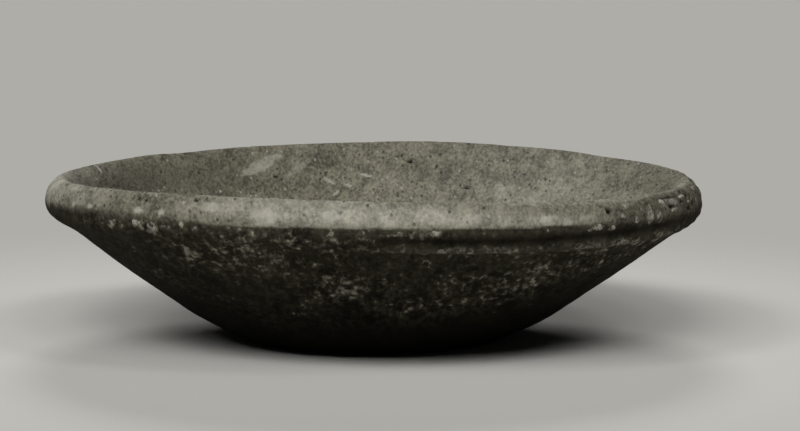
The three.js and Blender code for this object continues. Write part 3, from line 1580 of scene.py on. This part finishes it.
@dataclass(frozen=True)
class ClayFinish:
    """Unglazed fired clay, smoked dark outside under painted shade, and rubbed pale on the rim with painted
    light at its left end.

    A plain colour is given by its brightness and its warmth. A range holds the values of a pattern between
    which something sets in.

    Attributes:
        body: The clay inside.
        rubbed_and_lit: The rubbed rim, and the painted light at its left end and on the inner right wall.
        soot_and_shade_near_ground: The soot on the outside near the ground, darker still as painted shade.
        soot_and_shade_under_rim: The soot on the outside under the rim, darkened further as painted shade.
        stain: The rough right side.
        fleck: The flecks, thinnest and thickest.
        crust: The white crust, thinnest and thickest.
        shade_and_dark_colour: Colour of the painted shade on the inner left wall and of the darker patches.
        dust: Colour of the dust around the flecks.
        scrape: Colour of scrapes, pale patches and pale grains.
        pit: Colour of the painted shade in pits and in the groove, and of the dark grains.
        ground_shade_heights: Heights between which the outside grows paler, as the painted shade near the
            ground eases.
        patch_size: Size of the broadest mottling.
        mottle_size: Size of the middling mottling.
        grain_size: Size of the finest mottling.
        grit_size: Distance between single grains.
        wear_size: Size of the worn places in the scrapes.
        cloud_size: Size of the clouds of flecks.
        fleck_size: Size of the flecks.
        crust_size: Size of the thicker places in flecks and crust.
        fray_size: Size of the gaps in the crust's outline.
        grainy_mix: Shares of broad, middling and fine mottling in the bare and the rough clay.
        grainy_range: Pair between its dark and its light.
        soft_mix: The same shares in the rubbed and painted-lit clay and in the sooted clay under painted
            shade.
        soft_range: Pair between their dark and their light.
        shade_and_dark_strength: How clearly the painted shade and the darker patches show.
        dark_grit_strength: How clearly the dark grains show.
        pale_grit_strength: How clearly the pale grains show.
        grit_edge: Radii between which a grain ends, in distances between grains.
        dark_chance: Pair of a grain's chance between which it stops being dark.
        pale_chance: Pair of a grain's chance between which it becomes pale.
        wear_range: Pair between the least and the most that is left of a scrape.
        wear_left: How much of a scrape is left, at least and at most.
        fleck_mix: Shares of clouds and single flecks in the flecks.
        dust_range: Pair of the dust around them.
        core_starts: Where the flecks' pale cores set in, where they are few and where they crowd.
        core_width: Width of the cores' edges.
        core_power: How much the cores are thinned.
        core_room: Strength of a patch from which its cores show fully.
        thickness_range: Pair between thin and thick crust.
        fray_range: Pair of the gaps in the crust's outline.
        crust_range: Pair of the crust's outline.
        shine_range: Pair of the mottling between the smoothest and the roughest clay.
        shine: Roughness of the smoothest and the roughest clay.
        specular: Strength of the clay's gloss.
        bump_heights: Heights of grain, mottling, crust, dark and pale grains, in millimetres.
    """

    body: Tone = Tone(0.038, 0.185, 0.25)
    rubbed_and_lit: Tone = Tone(0.15, 0.37, 0.17)
    soot_and_shade_near_ground: Tone = Tone(0.003, 0.0075, 0.35)
    soot_and_shade_under_rim: Tone = Tone(0.008, 0.032, 0.33)
    stain: Tone = Tone(0.006, 0.12, 0.27)
    fleck: Tone = Tone(0.065, 0.25, 0.22)
    crust: Tone = Tone(0.12, 0.36, 0.15)
    shade_and_dark_colour: Pair = (0.038, 0.28)
    dust: Pair = (0.065, 0.3)
    scrape: Pair = (0.34, 0.15)
    pit: Pair = (0.005, 0.3)
    ground_shade_heights: Pair = (12 * MM, 62 * MM)
    patch_size: float = 34 * MM
    mottle_size: float = 7 * MM
    grain_size: float = 1.4 * MM
    grit_size: float = 2.4 * MM
    wear_size: float = 3.5 * MM
    cloud_size: float = 9 * MM
    fleck_size: float = 2.7 * MM
    crust_size: float = 4.5 * MM
    fray_size: float = 1.3 * MM
    grainy_mix: tuple[float, ...] = (0.18, 0.3, 0.52)
    grainy_range: Pair = (0.34, 0.66)
    soft_mix: tuple[float, ...] = (0.22, 0.42, 0.36)
    soft_range: Pair = (0.36, 0.64)
    shade_and_dark_strength: float = 0.55
    dark_grit_strength: float = 0.55
    pale_grit_strength: float = 0.4
    grit_edge: Pair = (0.2, 0.34)
    dark_chance: Pair = (0.16, 0.2)
    pale_chance: Pair = (0.88, 0.92)
    wear_range: Pair = (0.3, 0.65)
    wear_left: Pair = (0.45, 0.8)
    fleck_mix: Pair = (0.4, 0.6)
    dust_range: Pair = (0.44, 0.58)
    core_starts: Pair = (0.6, 0.49)
    core_width: float = 0.12
    core_power: float = 1.3
    core_room: float = 0.25
    thickness_range: Pair = (0.32, 0.68)
    fray_range: Pair = (0.25, 0.7)
    crust_range: Pair = (0.12, 0.6)
    shine_range: Pair = (0.2, 0.8)
    shine: Pair = (0.85, 0.98)
    specular: float = 0.03
    bump_heights: tuple[float, ...] = (0.4, 0.4, 0.15, -0.2, 0.15)

    def make(self, name: str) -> bpy.types.Material:
        """Builds the material.

        Args:
            name: Its name.

        Returns:
            The material.
        """
        board = NodeBoard(name)
        patch = board.noise(self.patch_size, detail=2.0)
        mottle = board.noise(self.mottle_size, detail=4.0, roughness=0.6)
        grain = board.noise(self.grain_size, detail=3.0, roughness=0.7)
        mottling = (patch, mottle, grain)
        grainy = board.step(board.weigh(*zip(mottling, self.grainy_mix)), *self.grainy_range)
        soft = board.step(board.weigh(*zip(mottling, self.soft_mix)), *self.soft_range)
        colour = self._clay(board, grainy, soft)
        dark_grit, pale_grit = self._grit(board)
        dark = board.times(dark_grit, self.dark_grit_strength)
        pale = board.times(pale_grit, self.pale_grit_strength)
        colour = board.blend(dark, colour, warm_grey(*self.pit))
        colour = board.blend(pale, colour, warm_grey(*self.scrape))
        colour, crust = self._crust(board, colour)
        wear = board.noise(self.wear_size, detail=3.0, roughness=0.6)
        worn = board.step(wear, *self.wear_range, *self.wear_left)
        scraped = board.times(board.attribute("scraped"), worn)
        colour = board.blend(scraped, colour, warm_grey(*self.scrape))
        # Pits and the groove take the pit colour: painted shade in their hollows.
        colour = board.blend(board.attribute("pit_and_groove_shade"), colour, warm_grey(*self.pit))
        board.join(colour, board.shader.inputs["Base Color"])
        shine = board.step(mottle, *self.shine_range, *self.shine)
        board.join(shine, board.shader.inputs["Roughness"])
        board.shader.inputs["Specular IOR Level"].default_value = self.specular
        board.bump(board.weigh(*zip((grain, mottle, crust, dark_grit, pale_grit), self.bump_heights)))
        return board.material

    def _clay(self, board: NodeBoard, grainy: Socket, soft: Socket) -> Socket:
        """Mixes the bare clay, its painted shade and darker patches, the rubbed and painted-lit clay, the
        stained clay and the sooted clay under painted shade.

        Args:
            board: The material's nodes.
            grainy: Mottling of the bare and the rough clay.
            soft: Mottling of the rest.

        Returns:
            Its colour.
        """
        shade_and_dark = board.times(board.attribute("shade_and_dark"), self.shade_and_dark_strength)
        colour = board.blend(shade_and_dark, self.body.mottle(board, grainy), warm_grey(*self.shade_and_dark_colour))
        colour = board.blend(board.attribute("rubbed_and_lit"), colour, self.rubbed_and_lit.mottle(board, soft))
        colour = board.blend(board.attribute("rough"), colour, self.stain.mottle(board, grainy))
        # Darker towards the ground: painted shade where the wall faces the floor's shadow.
        low_to_high = board.step(board.height(), *self.ground_shade_heights)
        low = self.soot_and_shade_near_ground.mottle(board, soft)
        high = self.soot_and_shade_under_rim.mottle(board, soft)
        return board.blend(board.attribute("soot_and_shade"), colour, board.blend(low_to_high, low, high))

    def _grit(self, board: NodeBoard) -> tuple[Socket, Socket]:
        """Scatters dark and pale grains over the clay that is free of soot and painted shade.

        Args:
            board: The material's nodes.

        Returns:
            Shares of dark and of pale grains.
        """
        distance, chance = board.cells(self.grit_size)
        bare = board.math("SUBTRACT", 1.0, board.attribute("soot_and_shade"))
        round_grain = board.times(board.step(distance, *self.grit_edge, 1.0, 0.0), bare)
        dark = board.times(round_grain, board.step(chance, *self.dark_chance, 1.0, 0.0))
        pale = board.times(round_grain, board.step(chance, *self.pale_chance))
        return dark, pale

    def _crust(self, board: NodeBoard, colour: Socket) -> tuple[Socket, Socket]:
        """Lays dusty clouds with pale cores over the sooted outside under its painted shade, and crust over
        its marks.

        Args:
            board: The material's nodes.
            colour: Colour of the clay below.

        Returns:
            The new colour, and the share of cores and crust.
        """
        dark_clay = board.math("MAXIMUM", board.attribute("soot_and_shade"), board.attribute("rough"))
        flecked = board.times(board.attribute("flecked"), dark_clay)
        cloud = board.noise(self.cloud_size, detail=4.0, roughness=0.6)
        spot = board.noise(self.fleck_size, detail=3.0, roughness=0.6)
        spread = board.weigh(*zip((cloud, spot), self.fleck_mix))
        dusty = board.times(board.step(spread, *self.dust_range), flecked)
        colour = board.blend(dusty, colour, warm_grey(*self.dust))
        core_edge = board.step(flecked, 0.0, 1.0, *self.core_starts)
        cores = board.step(spread, core_edge, board.math("ADD", core_edge, self.core_width))
        thinned = board.math("POWER", cores, self.core_power)
        cores = board.times(thinned, board.step(flecked, 0.0, self.core_room))
        thickness = board.step(board.noise(self.crust_size, detail=2.0), *self.thickness_range)
        colour = board.blend(cores, colour, self.fleck.mottle(board, thickness))
        gaps = board.step(board.noise(self.fray_size, detail=4.0, roughness=0.7), *self.fray_range)
        marks = board.step(board.times(board.attribute("crusted"), gaps), *self.crust_range)
        colour = board.blend(marks, colour, self.crust.mottle(board, thickness))
        return colour, board.math("MAXIMUM", cores, marks)


def look_from(turn: float, height: float) -> Vector:
    """Finds the direction from the bowl to a lamp or camera.

    Args:
        turn: Angle round from the bowl's front, in degrees.
        height: Angle above level, in degrees.

    Returns:
        The direction, with a length of 1.
    """
    turn, height = math.radians(turn), math.radians(height)
    level = math.cos(height)
    return Vector((math.sin(turn) * level, -math.cos(turn) * level, math.sin(height)))


@dataclass(frozen=True)
class Lamp:
    """A soft lamp a long way off.

    Attributes:
        name: Its name.
        turn: Angle round from the bowl's front, in degrees.
        height: Angle above level, in degrees.
        level: How much it lights the floor, where 1 shows a colour as it is written.
    """

    name: str
    turn: float
    height: float
    level: float

    def hang(self, spread: float) -> None:
        """Puts the lamp in the scene.

        Args:
            spread: Angle that it fills, in degrees.
        """
        bpy.ops.object.light_add(type="SUN", location=(0, 0, 1))
        lamp = bpy.context.active_object
        lamp.name = self.name
        lamp.data.angle = math.radians(spread)
        lamp.data.energy = self.level * math.pi / math.sin(math.radians(self.height))
        lamp.rotation_mode = "QUATERNION"
        lamp.rotation_quaternion = look_from(self.turn, self.height).to_track_quat("Z", "Y")


# An arc of five at the front and one behind
LAMPS = [
    Lamp("far_left_lamp", -45, 40, 0.19),
    Lamp("left_lamp", -24, 40, 0.165),
    Lamp("middle_lamp", -6, 40, 0.24),
    Lamp("right_lamp", 16, 42, 0.135),
    Lamp("far_right_lamp", 45, 46, 0.14),
    Lamp("rear_lamp", 180, 33, 0.26),
]


@dataclass
class Studio:
    """A pale floor with a painted pool of light round the bowl, soft light and the camera at the
    photograph's angle.

    Attributes:
        floor_size: Side of the floor.
        floor_and_pool_levels: Brightness of the floor by the bowl, painted paler there as a pool of light,
            and far from it.
        pool_fade: Distances from the bowl between which the painted pool of light fades into the floor's
            brightness.
        floor_warmth: How far blue falls short in the floor's colour, as a share.
        lamp_spread: Angle that each lamp fills, in degrees.
        fill: Level of the even fill.
        camera_distance: Distance from the camera to its target.
        camera_height: Angle of the camera above level, in degrees.
        camera_target: Height of the target above the ground.
        sensor_width: Width of the camera's film, in millimetres.
        focal_pixels: Focal length, in pixels of the picture.
        target_pixel: Where the target lies in the picture.
    """

    floor_size: float = 40.0
    floor_and_pool_levels: Pair = (0.455, 0.36)
    pool_fade: Pair = (0.16, 0.48)
    floor_warmth: float = 0.06
    lamp_spread: float = 16.0
    fill: float = 0.03
    camera_distance: float = 1.4
    camera_height: float = 6.98
    camera_target: float = 40 * MM
    sensor_width: float = 36.0
    focal_pixels: float = 3040.7
    target_pixel: Pair = (373.03, 250.12)

    def lay_floor(self) -> None:
        """Lays the floor under the bowl, painted paler near it as a pool of light."""
        bpy.ops.object.select_all(action="DESELECT")
        bpy.ops.mesh.primitive_plane_add(size=self.floor_size, location=(0, 0, 0))
        floor = bpy.context.active_object
        floor.name = "studio_floor"
        board = NodeBoard("studio_paper")
        # The floor is paler by the bowl: a painted pool of light.
        share = board.step(board.distance(), *self.pool_fade)
        painted_pool, far = (warm_grey(level, self.floor_warmth) for level in self.floor_and_pool_levels)
        board.join(board.blend(share, painted_pool, far), board.shader.inputs["Base Color"])
        board.shader.inputs["Roughness"].default_value = 1.0
        board.shader.inputs["Specular IOR Level"].default_value = 0.0
        floor.data.materials.append(board.material)

    def light(self) -> None:
        """Sets up the soft lamps and the even fill."""
        for lamp in LAMPS:
            lamp.hang(self.lamp_spread)
        world = bpy.data.worlds.new("studio_fill")
        bpy.context.scene.world = world
        world.use_nodes = True
        background = world.node_tree.nodes["Background"]
        background.inputs["Color"].default_value = (1.0, 1.0, 1.0, 1.0)
        background.inputs["Strength"].default_value = self.fill

    def set_camera(self) -> None:
        """Puts the camera at the photograph's angle and framing."""
        back = look_from(0.0, self.camera_height)
        target = Vector((0, 0, self.camera_target))
        bpy.ops.object.camera_add(location=target + back * self.camera_distance)
        camera = bpy.context.active_object
        camera.rotation_mode = "QUATERNION"
        camera.rotation_quaternion = back.to_track_quat("Z", "Y")
        camera.data.sensor_width = self.sensor_width
        camera.data.lens = self.focal_pixels / PHOTO_WIDTH * self.sensor_width
        camera.data.shift_x = (PHOTO_WIDTH / 2 - self.target_pixel[0]) / PHOTO_WIDTH
        camera.data.shift_y = (self.target_pixel[1] - PHOTO_HEIGHT / 2) / PHOTO_WIDTH
        bpy.context.scene.camera = camera


def main() -> None:
    """Builds the bowl, member by member, and the studio around it."""
    logging.basicConfig(level=logging.INFO, format="%(message)s")
    low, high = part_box("rim_roll")
    skin = Skin(BowlForm(rim_radius=(high.x - low.x) / 2))
    marks = INSIDE_MARKS + RIM_MARKS + WALL_MARKS
    patches = RUBBED_AND_LIT_PATCHES + SHADE_AND_DARK_PATCHES + FLECKED_PATCHES + BACK_PATCHES
    relief = Relief(marks, patches, RIM_SWELLS)
    finish = ClayFinish()
    members = [
        FloorSlab("floor_slab_clay", "floor_slab", Slot.FLOOR, skin, relief),
        FlaringWall("wall_clay", "wall", Slot.WALL, skin, relief),
        RimRoll("rim_roll_clay", "rim_roll", Slot.RIM, skin, relief),
    ]
    for member in members:
        piece = member.build()
        piece.data.materials.append(finish.make(member.slot.value))
        member.place(piece)
        LOG.info("%s: %d faces", piece.name, len(piece.data.polygons))
    studio = Studio()
    studio.lay_floor()
    studio.light()
    studio.set_camera()
    bpy.context.scene.view_settings.view_transform = "Standard"


if __name__ == "__main__":
    main()
